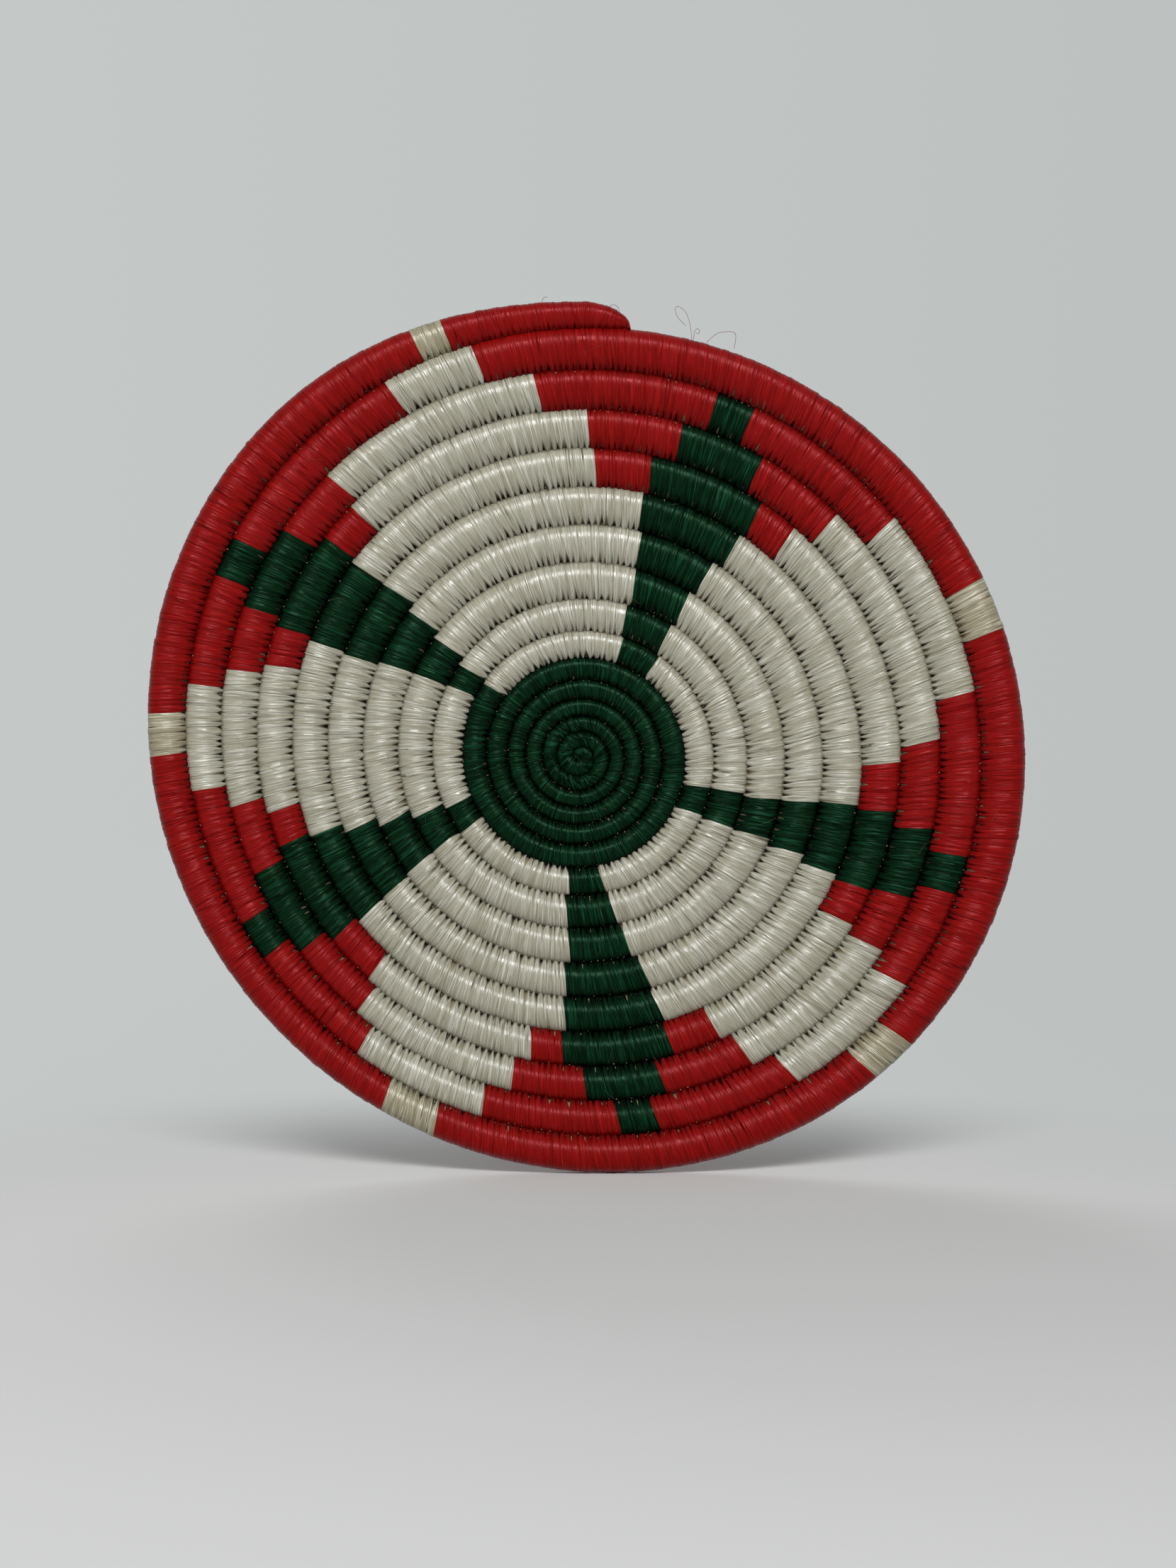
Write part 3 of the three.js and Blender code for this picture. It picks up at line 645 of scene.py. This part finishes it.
def sewn_row(row, start, end, pitch, notch):
    """Stitches side by side over one row, from one angle to another, as one closed tube, with the short bits and
    loose fibres on it. Arrays are stitch by column by section point. A section is a superellipse. A stitch is
    crowned by a square over its width, more so at its inner end, and every column leans with its stitch."""
    middle = (start + end) / 2
    radius = float(coil_radius(turns_at(row, middle), 0.5, middle)[1])
    seam = math.degrees(SEAM_OVERLAP / radius)
    start = start - (seam if start % FULL_TURN else 0)
    end = end + (seam if end % FULL_TURN else 0)
    count = max(1, round(math.radians(end - start) * radius / pitch))
    knots = np.arange(count + 1.0)
    knots[1:-1] += random.uniform(-PITCH_JITTER, PITCH_JITTER, count - 1)
    knots = start + (end - start) * knots / count

    place, heights, shades = stitch_columns(round(pitch / FIBRE_WIDTH))
    columns = len(place)
    is_gap = place == -1
    half = (np.diff(knots) / 2)[:, None, None]
    centre = ((knots[:-1] + knots[1:]) / 2)[:, None, None]
    turns = turns_at(row, centre + half * place)
    overlap = SECTION_OVERLAP + CURL_OVERLAP * (1 - smooth_step(0, CURL_TURNS, turns))
    across = 0.5 + 0.5 * overlap * WIDE
    drawn_in, gap_fade, bare = notches(notch, count, place, across)
    strayed, phase = fibre_paths(count, place, across)
    angle = centre + half * np.where(is_gap, -1, (place + strayed) * (1 - drawn_in))
    lean_jitter = random.normal(0, LEAN_JITTER, count + 1)
    lean_jitter[[0, -1]] = 0
    lean_before, lean_after = knot_sides(lean_jitter)
    lean = lean_before * (1 - place) / 2 + lean_after * (1 + place) / 2

    has_outer_notch = random.random((count, 1, 1)) < notch["outer"]
    inner_notch = gap_fade * NOTCHES_OPEN
    outer_notch = smooth_step(OUTER_NOTCH_FROM, OUTER_NOTCH_TO, across) * has_outer_notch * NOTCHES_OPEN
    crown = CROWN + INNER_CROWN * (1 - smooth_step(0, INNER_CROWN_TO, across)) * ON_FACE
    raised = fibre_heights(count, heights, across, phase) - crown * place**2
    parted, crevice, drop = gap_depths(count, inner_notch, outer_notch, bare)
    raised = np.where(is_gap, -(crevice + crown) * CREVICES_OPEN, raised)
    sunk = drop * np.where(is_gap, 1, np.where(np.abs(place) == STITCH_EDGE, EDGE_SINKS, 0))
    tip = tip_reach(count, place, notch["pointed"])

    def along_row(values):
        """One value per column and section point along the whole row, with the closing column at its end."""
        spread = np.broadcast_to(values, (count, columns, len(WIDE))).reshape(count * columns, -1)
        return np.concatenate([spread, spread[:1]])

    angle, across, lean, raised, sunk, tip = map(along_row, (angle, across, lean, raised, sunk, tip))
    angle[-1] = end
    points = lay_on_row(row, angle, across, lean, raised, sunk, tip)

    notched = np.maximum(inner_notch, outer_notch)
    side_on = np.clip(1 - np.abs(DEEP), 0, 1)
    outer_rim = (row == RIM_ROW) & (WIDE > 0)
    # shadow and groove are painted shade: in the notches, gaps and hollows, and towards the grooves between rows
    values = {
        "strand": random.random((count, columns, 1)),
        "stitch": random.random((count, 1, 1)),
        "shadow": shades * np.clip(notched + LEAST_SHADE + PARTED_SHADE * parted, 0, 1),
        "groove": side_on * np.where(outer_rim, RIM_EDGE_GROOVE, 1),
        "core": np.where(is_gap, bare * smooth_step(BARE_FROM, BARE_TO, inner_notch), 0),
    }
    attributes = {key: np.append(along_row(value), [0.5, 0.5]) for key, value in values.items()}
    steps = np.linalg.norm(np.diff(points[columns // 2], axis=0), axis=-1)
    lengthways = np.concatenate([[0], np.cumsum(steps)]) * MILLIMETRES
    number = np.arange(count)[:, None, None]
    sideways = (number + place / 2) * pitch * MILLIMETRES
    layer = number * STITCH_NOISE_STEP + row * ROW_NOISE_STEP
    fibre = np.stack([along_row(sideways), along_row(lengthways), along_row(layer)], axis=-1)
    attributes["fibre"] = np.concatenate([fibre.reshape(-1, 3), np.zeros((2, 3))])

    made = [(closed_tube(points), attributes)]
    has_bit = random.random(count - 1) < notch["bits"]
    if has_bit.any():
        made.append(core_bits(row, knots[1:-1][has_bit], lean_jitter[1:-1][has_bit]))
    strays = random.poisson(notch["strays"] * math.radians(end - start) * radius)
    if strays:
        made.append(stray_fibres(row, start, end, strays))
    return made


def sewn_run(name, node, rows, pitch, slot, material, notch, extra=()):
    """All rows of one colour run as one piece. It stands for its CAD node and rides with the basket."""
    made = [part for row, start, end in rows for part in sewn_row(row, start, end, pitch, notch)]
    made.extend(extra)
    attributes = {key: np.concatenate([values[key] for _, values in made]) for key in made[0][1]}
    piece = build_piece(name, [tube for tube, _ in made], material, attributes)
    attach(piece, "root")
    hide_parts(node)


# Raffia is split palm leaf: flat, smooth, slightly waxy fibres with a soft shine. Dye takes unevenly, so stitches
# differ a little, and the fibres of a stitch differ more. Towards the grooves its colour darkens as painted shade.
# Streaks in a fibre and groups of fibres are given in millimetres, across and along.
FIBRE_STREAK = 0.19, 8
FIBRE_GROUP = 0.36, 10
STREAK_BUMP, GROUP_BUMP = 0.00007, 0.00006
STRAND_SHARE = 0.3
PATCHES_PER_METRE = 22
NOISE_LOW, NOISE_HIGH = 0.35, 0.65
RAFFIA_IOR = 1.45
CORE_COLOUR = "#8b8066"


def raffia(name, middle, light, dark, gap, faded, sheen, specular, gloss, groove_shade):
    """Raffia from its colours. Every layer lies over the ones before by a share that rises evenly between two
    values: light and dark fibres, faded stitches, painted shade in the grooves and in the notches, both in the gap
    colour, and the bare bundle. The roughness differs from group to group of fibres, between the two values of the
    gloss."""
    material = bpy.data.materials.new(name)
    tree = empty_tree(material)
    keys = "fibre", "strand", "stitch", "shadow", "groove", "core"
    told = {key: add_node(tree, "Attribute", attribute_name=key) for key in keys}
    fine = []
    for wide, long in (FIBRE_STREAK, FIBRE_GROUP):
        vector = add_node(
            tree, "Mapping", {"Vector": told["fibre"]["Vector"], "Scale": (1 / wide, 1 / long, 1)}
        )["Vector"]
        noise = add_node(tree, "TexNoise", {"Vector": vector, "Scale": 1, "Detail": 2})
        fine.append(noise["Fac"])
    streaks, groups = fine
    place = add_node(tree, "TexCoord")["Object"]
    patches = add_node(tree, "TexNoise", {"Vector": place, "Scale": PATCHES_PER_METRE, "Detail": 2})["Fac"]
    varied = add_node(
        tree, "Math", {0: told["strand"]["Fac"], 1: STRAND_SHARE, 2: streaks}, operation="MULTIPLY_ADD"
    )[0]
    worn = add_node(tree, "Math", {0: told["stitch"]["Fac"], 1: patches}, operation="MULTIPLY")[0]

    # Each layer: what it follows, from where to where it comes in, its greatest share and its colour
    colour = linear(middle)
    for value, low, high, most, over in (
        (varied, 0.65, 0.95, 1, light),
        (varied, 0.6, 0.4, 1, dark),
        (worn, 0.25, 0.6, 0.5, faded),
        # Painted shade: the gap colour darkens the grooves between rows, and the notches, gaps and hollows
        (told["groove"]["Fac"], *groove_shade, gap),
        (told["shadow"]["Fac"], 0.06, 0.8, 0.9, gap),
        (told["core"]["Fac"], 0, 1, 1, CORE_COLOUR),
    ):
        share = add_node(
            tree, "MapRange", {"Value": value, "From Min": low, "From Max": high, "To Max": most}
        )["Result"]
        colour = add_node(tree, "Mix", {"Factor": share, 6: colour, 7: linear(over)}, data_type="RGBA")[2]

    normal = add_node(tree, "Bump", {"Height": streaks, "Strength": 1, "Distance": STREAK_BUMP})[0]
    normal = add_node(
        tree, "Bump", {"Height": groups, "Strength": 1, "Distance": GROUP_BUMP, "Normal": normal}
    )[0]
    roughness = add_node(
        tree,
        "MapRange",
        {"Value": groups, "From Min": NOISE_LOW, "From Max": NOISE_HIGH, "To Min": gloss[0], "To Max": gloss[1]},
    )["Result"]
    surface = add_node(
        tree,
        "BsdfPrincipled",
        {
            "Base Color": colour,
            "Roughness": roughness,
            "IOR": RAFFIA_IOR,
            "Specular IOR Level": specular,
            "Specular Tint": linear(sheen),
            "Normal": normal,
        },
    )
    add_node(tree, "OutputMaterial", {"Surface": surface["BSDF"]})
    return material


HEART_START = (COIL_START - HEART_TURNS - FIRST_ROW) * FULL_TURN
HEART_END = 308.4

# Ragged tufts in the eye: the angle that they start from and their number on each of the first three rows. The
# ranges give the least and the most for a tuft, and how far its fibres differ from each other.
EYE_ROWS = {FIRST_ROW: (HEART_START, 12), FIRST_ROW + 1: (0, 30), FIRST_ROW + 2: (0, 63)}
TUFT_FIBRES = 4
TUFT_PLACES = 7
TUFT_SIDES = 4
TUFT_HALF, TUFT_NARROW, TUFT_PARTING = 0.00034, 0.45, 0.75
TUFT_LEAST_RADIUS = 0.0015
TUFT_AT, TUFT_ROUND = (105, 178, 8), (55, 100, 9)
TUFT_HEIGHT, TUFT_ARCH = (0.00002, 0.0001, 0.00003), (0.00006, 0.00024, 0.00006)
TUFT_LEAN = -0.3, 0.3, 0.05
TUFT_THICKNESS, TUFT_THIN_END = (0.0001, 0.00015, 0.00003), 0.4
TUFT_SHADE = -0.2, 1.2, 0.4


def eye_tufts(row, start, tufts):
    """Ragged tufts on an inner turn, a few fibres side by side in each. A fibre runs over part of the row's
    section, arches over its stitches and thins to its ends by a sine along it, and leans by the tuft's own
    slant. The fibres of a tuft part evenly towards its outer end."""

    def shared(low, high, own):
        """A random value per tuft, and a smaller one of each fibre's own on top."""
        whole = np.repeat(random.uniform(low, high, (tufts, 1)), TUFT_FIBRES, axis=0)
        return whole + random.uniform(-own, own, (tufts * TUFT_FIBRES, 1))

    way = np.linspace(0, 1, TUFT_PLACES)
    arch = np.sin(math.pi * way)
    beside = np.tile(np.linspace(-1, 1, TUFT_FIBRES), tufts)[:, None]
    middle = shared(start, FULL_TURN, 0)
    wound = coil_radius(turns_at(row, middle), 0.5, middle)[1]
    aside = TUFT_HALF * beside * (TUFT_NARROW + TUFT_PARTING * way)
    angle = middle + np.degrees(aside / np.maximum(wound, TUFT_LEAST_RADIUS))
    turned = shared(*TUFT_AT) - shared(*TUFT_ROUND) * way
    raised = shared(*TUFT_HEIGHT) + shared(*TUFT_ARCH) * arch
    lines = over_row(row, np.clip(angle, start, FULL_TURN), turned, raised, shared(*TUFT_LEAN))
    thickness = shared(*TUFT_THICKNESS) * (TUFT_THIN_END + (1 - TUFT_THIN_END) * arch)
    tubes = fibre_tubes(lines, thickness, TUFT_SIDES)
    strand = shared(*TUFT_SHADE)[:, 0]
    return tubes, fibre_values(tubes[0], len(lines), strand=strand, stitch=0.5, shadow=0, groove=0.02, core=0)


heart_rows = [
    (row, HEART_START if row == FIRST_ROW else 0, HEART_END if row == -1 else FULL_TURN)
    for row in range(FIRST_ROW, 0)
]

# Raffia dyed a deep bottle green, taken nearly black in the grooves by painted shade, with a thin, cool sheen
# along the crests.
# The notches of a colour: their length as a share of the row's width, and their width as a share of half a
# stitch; the share that is open, the share of those that shows the bundle bare, and the share of stitches with a
# notch at the outer edge too; how pointed the tips are, the share of gaps with a pale bit, and loose fibres per
# metre of row.
GREEN = {
    "slot": "green_raffia",
    "material": raffia(
        "green_dyed_raffia", "#011104", "#14442a", "#010702", "#000200", "#061f0d",
        sheen="#9ce6b8", specular=0.14, gloss=(0.36, 0.17), groove_shade=(0.08, 0.48, 0.97),
    ),
    "notch": {
        "length": (0.04, 0.24), "width": (0.12, 0.5), "open": 0.7, "bare": 0.4,
        "outer": 0.1, "pointed": 0.4, "bits": 0.6, "strays": 70,
    },
}
tufts = [eye_tufts(row, *place) for row, place in EYE_ROWS.items()]
sewn_run("heart_stitches", "heart_wrap", heart_rows, HEART_STITCH_PITCH, **GREEN, extra=tufts)

# Arms: five green runs of the same raffia, each row's run sewn into the row inside it. The numbers are the
# weaver's chart: where the green starts and ends on rows 0 to 7, in degrees.
ARM_RUNS = [
    [(20.8, 38.8), (18.3, 35.7), (17.7, 34.7), (16, 34.9),
     (14.1, 36.4), (14.1, 36.3), (17.6, 31.9), (21.1, 26.9)],
    [(103.8, 116), (102.7, 115.2), (102.6, 114), (101.3, 114.1),
     (100.1, 114.9), (100.2, 115), (102, 113.5), (104.7, 110.3)],
    [(169.6, 184.7), (167.6, 184.5), (165.6, 183), (163.2, 183.5),
     (162.5, 183.2), (162.4, 183.3), (165.7, 179), (168, 173.9)],
    [(237.9, 249.5), (237.7, 250.2), (236.5, 251.5), (234.8, 252.6),
     (233.8, 253.8), (233.8, 253.7), (235.3, 250.4), (237.7, 243.9)],
    [(299.4, 308.4), (297.6, 310), (296.1, 311.1), (294.1, 312.1),
     (293.8, 311), (293.8, 311.1), (294.6, 307.9), (296.9, 302.7)],
]
for number, runs in enumerate(ARM_RUNS, 1):
    rows = [(row, start, end) for row, (start, end) in enumerate(runs)]
    name = f"arm_{number}"
    sewn_run(name + "_stitches", name, rows, STITCH_PITCH, **GREEN)

# Flanks: red runs before and after each arm's green on rows 5 to 7, sewn on like the arms. The numbers are how
# far the red reaches on each row, before the arm and after it, in degrees.
FIRST_RED_ROW = 5
RED_REACH = [
    [(3.2, 43.8), (1.6, 47), (-6.5, 53.1)],
    [(91.3, 121.9), (87.7, 122.9), (80.8, 125.3)],
    [(153.5, 189.5), (150.9, 191.8), (146.4, 195.5)],
    [(224, 260.2), (221.3, 262.2), (217.2, 265.1)],
    [(286.9, 317.9), (284.4, 318.6), (280.8, 332.9)],
]
# Raffia dyed a warm red, darkened in the grooves by painted shade, with a soft pink sheen along the crests
RED = {
    "slot": "red_raffia",
    "material": raffia(
        "red_dyed_raffia", "#740502", "#941411", "#580302", "#220101", "#800e0f",
        sheen="#ff9096", specular=0.34, gloss=(0.44, 0.2), groove_shade=(0.2, 0.68, 0.94),
    ),
    "notch": {
        "length": (0.04, 0.26), "width": (0.1, 0.6), "open": 0.6, "bare": 0.5,
        "outer": 0.1, "pointed": 0.5, "bits": 0.45, "strays": 45,
    },
}
for number, (green, red) in enumerate(zip(ARM_RUNS, RED_REACH), 1):
    sides = {"before": [], "after": []}
    for row, (reach, run) in enumerate(zip(red, green[FIRST_RED_ROW:]), FIRST_RED_ROW):
        sides["before"].append((row, reach[0], run[0]))
        sides["after"].append((row, run[1], reach[1]))
    for side, rows in sides.items():
        name = f"flank_{number}_{side}"
        sewn_run(name + "_stitches", name, rows, STITCH_PITCH, **RED)

# Petals: bleached raffia fills the rows between one arm's colours and the next. The one that crosses the top
# starts a turn earlier on each row and takes in one row more.
RIM_START = -14.4
# Bleached raffia: a greyish white, with warm painted shade between its fibres and in its grooves, and the
# brightest sheen
WHITE = {
    "slot": "white_raffia",
    "material": raffia(
        "bleached_raffia", "#928f7d", "#c2c1b6", "#757059", "#332a1b", "#8e8a76",
        sheen="#ffffff", specular=0.95, gloss=(0.42, 0.22), groove_shade=(0.34, 0.8, 0.95),
    ),
    "notch": {
        "length": (0.08, 0.38), "width": (0.25, 0.8), "open": 0.72, "bare": 0.3,
        "outer": 0.2, "pointed": 0.7, "bits": 0.4, "strays": 20,
    },
}


def colour_edges(arm, row):
    """Where an arm's colours start and end on a row: at its green run, or at the red beside it."""
    return ARM_RUNS[arm][row] if row < FIRST_RED_ROW else RED_REACH[arm][row - FIRST_RED_ROW]


star_rows = range(RIM_ROW)
for number in range(1, len(ARM_RUNS)):
    rows = [(row, colour_edges(number - 1, row)[1], colour_edges(number, row)[0]) for row in star_rows]
    name = f"petal_{number}"
    sewn_run(name + "_stitches", name, rows, STITCH_PITCH, **WHITE)
top_starts = [HEART_END] + [colour_edges(-1, row)[1] for row in star_rows]
top_ends = [colour_edges(0, row)[0] for row in star_rows] + [RIM_START]
top_rows = [(row, start - FULL_TURN, end) for row, (start, end) in enumerate(zip(top_starts, top_ends))]
sewn_run("petal_5_stitches", "petal_5", top_rows, STITCH_PITCH, **WHITE)

# The rim row: red runs with a short block of undyed raffia after each but the last, which closes over the
# thinned end of the coil and is sewn down on the row inside.
CREAM_BLOCKS = [(66.3, 73.3), (131.1, 137.4), (201.5, 209.8), (270.3, 276.1), (338.4, 342.5)]
# Raffia left undyed: straw coloured, a little browner than the bleached one, and notched like it
CREAM = {
    "slot": "cream_raffia",
    "material": raffia(
        "undyed_raffia", "#867e66", "#c8c3b0", "#675e44", "#32291a", "#81795e",
        sheen="#fffdf0", specular=0.9, gloss=(0.42, 0.22), groove_shade=(0.2, 0.7, 0.94),
    ),
    "notch": WHITE["notch"],
}

# Loose fibres that stand up from the rim: points in millimetres right of and above the coil's middle
LOOSE_ENDS = [
    [(38.5, 142), (37.9, 147), (36.5, 151), (34.5, 152.8),
     (33.2, 153), (32.7, 151.8), (33.6, 149.4), (36.3, 146.8)],
    [(39, 142.5), (39.4, 145), (40.2, 145.6), (40.9, 144.9), (40.6, 143.9), (39.9, 144.2)],
    [(43.5, 141.5), (46.9, 144.2), (50.5, 144.6), (52.6, 144.2), (53.3, 142.8), (52.8, 139)],
    [(9, 151.5), (11, 153.7), (13.1, 152.9), (14, 150.4)],
    [(-13, 153.4), (-12.2, 155.8), (-10.7, 156.5)],
]
LOOSE_PLACES = 24
LOOSE_THICKNESS = 0.00007
LOOSE_FORWARD, LOOSE_SWAY, LOOSE_SWAY_TO = 0.018, 0.004, 2.5


def loose_ends(lines):
    """Fine single fibres that stand up from the rim in curls. Each is a smooth cubic through its points, which
    passes every point in the direction from the one before to the one after, and it sways forward by a sine."""
    made = []
    at_places = np.linspace(0, 1, LOOSE_PLACES)
    forward = LOOSE_FORWARD + LOOSE_SWAY * np.sin(LOOSE_SWAY_TO * at_places)
    for line in lines:
        flat = np.array(line) / MILLIMETRES
        last = len(flat) - 1
        at = last * at_places
        here = at.astype(int)
        t = (at - here)[:, None]
        p0, p1, p2, p3 = (flat[np.clip(here + step, 0, last)] for step in (-1, 0, 1, 2))
        smooth = 0.5 * (
            2 * p1 + (p2 - p0) * t + (2 * p0 - 5 * p1 + 4 * p2 - p3) * t**2 + (3 * p1 - p0 - 3 * p2 + p3) * t**3
        )
        curl = np.stack([smooth[:, 0], -forward, smooth[:, 1]], axis=-1)[None]
        tubes = fibre_tubes(curl, np.full((1, LOOSE_PLACES), LOOSE_THICKNESS))
        made.append((tubes, fibre_values(tubes[0], 1, strand=0.4, stitch=0.5, shadow=0, groove=0.1, core=0)))
    return made


rim_starts = [RIM_START] + [end for _, end in CREAM_BLOCKS]
rim_ends = [start for start, _ in CREAM_BLOCKS] + [END_ANGLE]
for number, (start, end) in enumerate(zip(rim_starts, rim_ends), 1):
    name = f"rim_red_{number}"
    rows = [(RIM_ROW, start, end)]
    extra = loose_ends(LOOSE_ENDS) if number == 1 else ()
    sewn_run(name + "_stitches", name, rows, STITCH_PITCH, **RED, extra=extra)
for number, (start, end) in enumerate(CREAM_BLOCKS, 1):
    name = f"rim_cream_{number}"
    rows = [(RIM_ROW, start, end)]
    sewn_run(name + "_stitches", name, rows, STITCH_PITCH, **CREAM)

# The room: a pale matt floor that the basket stands on, fading into a pale backdrop with no edge, and soft
# studio light from a large lamp above, with weaker ones in front and behind.
BACKDROP_LEFT, BACKDROP_RIGHT = "#c4c8c7", "#bdc1c0"
BACKDROP_REACH, FLOOR_REACH = 0.22, 0.28
PAPER, PAPER_ROUGHNESS = "#d1d2d1", 0.9
AMBIENT, AMBIENT_STRENGTH = "#eef1f4", 0.13
FLOOR_SIZE = 8
FADE_CENTRE = (0, -0.2, 0)
FADE_FROM, FADE_TO = 0.21, 0.43
LAMPS = {
    "above": {"at": (0.1, -1.75, 1.3), "size": (1.4, 0.5), "watts": 43},
    "front": {"at": (-0.6, -1.3, 0.1), "size": (0.9, 0.9), "watts": 4},
    "behind": {"at": (-0.4, 1.1, 0.7), "size": (0.9, 0.9), "watts": 8},
}


def seen_or_mirrored(tree):
    """1 for rays from the camera, in a reflection or through glass, and 0 for the light on the object."""
    rays = add_node(tree, "LightPath")
    both = add_node(tree, "Math", {0: rays["Is Camera Ray"], 1: rays["Is Glossy Ray"]}, operation="ADD")[0]
    return add_node(tree, "Math", {0: both, 1: rays["Is Transmission Ray"]}, operation="ADD", use_clamp=True)[0]


def left_to_right(tree, reach):
    """The backdrop's colour, with painted shade: it gets a little darker evenly from left to right, away from the
    window.
    """
    place = add_node(tree, "TexCoord")["Object"]
    across = add_node(tree, "SeparateXYZ", {"Vector": place})["X"]
    share = add_node(tree, "MapRange", {"Value": across, "From Min": -reach, "From Max": reach})["Result"]
    return add_node(
        tree, "Mix", {"Factor": share, 6: linear(BACKDROP_LEFT), 7: linear(BACKDROP_RIGHT)}, data_type="RGBA"
    )[2]


# Matt white paper: even and dull, so that it keeps the basket's soft shadow and shows no gloss
def matt_paper():
    """Paper near the basket and the backdrop's own colour far from it: the share of the backdrop is a smooth
    step of the distance over the floor from the fade's centre, for rays that see the room alone."""
    material = bpy.data.materials.new("matt_white_paper")
    tree = empty_tree(material)
    place = add_node(tree, "TexCoord")["Object"]
    flat = add_node(tree, "VectorMath", {0: place, 1: (1, 1, 0)}, operation="MULTIPLY")[0]
    distance = add_node(tree, "VectorMath", {0: flat, 1: FADE_CENTRE}, operation="DISTANCE")["Value"]
    fade = add_node(
        tree,
        "MapRange",
        {"Value": distance, "From Min": FADE_FROM, "From Max": FADE_TO},
        interpolation_type="SMOOTHSTEP",
    )["Result"]
    seen = add_node(tree, "Math", {0: fade, 1: seen_or_mirrored(tree)}, operation="MULTIPLY")[0]
    paper = add_node(tree, "BsdfPrincipled", {"Base Color": linear(PAPER), "Roughness": PAPER_ROUGHNESS})["BSDF"]
    glow = add_node(tree, "Emission", {"Color": left_to_right(tree, FLOOR_REACH), "Strength": 1})["Emission"]
    surface = add_node(tree, "MixShader", {0: seen, 1: paper, 2: glow})
    add_node(tree, "OutputMaterial", {"Surface": surface["Shader"]})
    return material


def add_floor():
    """A flat square at the height of the basket's lowest point."""
    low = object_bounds()[0]
    half = FLOOR_SIZE / 2
    corners = [(x * half, y * half, low.z) for x, y in ((-1, -1), (1, -1), (1, 1), (-1, 1))]
    mesh = bpy.data.meshes.new("floor")
    mesh.from_pydata(corners, [], [(0, 1, 2, 3)])
    mesh.materials.append(matt_paper())
    floor = add_object("floor", mesh)


def add_backdrop():
    """The world: the backdrop for rays that see the room, and a weak even light for all others."""
    world = bpy.data.worlds.new("studio")
    tree = empty_tree(world)
    ambient = add_node(tree, "Background", {"Color": linear(AMBIENT), "Strength": AMBIENT_STRENGTH})["Background"]
    backdrop = add_node(
        tree, "Background", {"Color": left_to_right(tree, BACKDROP_REACH), "Strength": 1}
    )["Background"]
    surface = add_node(tree, "MixShader", {0: seen_or_mirrored(tree), 1: ambient, 2: backdrop})
    add_node(tree, "OutputWorld", {"Surface": surface["Shader"]})
    bpy.context.scene.world = world


def add_lamps():
    """Rectangular lamps that face the coil's middle. Only the large one shows in the raffia's gloss, because the
    small ones would put hard glints on the rim."""
    for name, lamp in LAMPS.items():
        data = bpy.data.lights.new("lamp_" + name, "AREA")
        data.shape = "RECTANGLE"
        data.size, data.size_y = lamp["size"]
        data.energy = lamp["watts"]
        light = add_object("lamp_" + name, data)
        light.location = lamp["at"]
        light.visible_glossy = name == "above"
        light.rotation_euler = (-light.location).to_track_quat("-Z", "Y").to_euler()


add_floor()
add_backdrop()
add_lamps()
bpy.context.scene.view_settings.view_transform = "Standard"
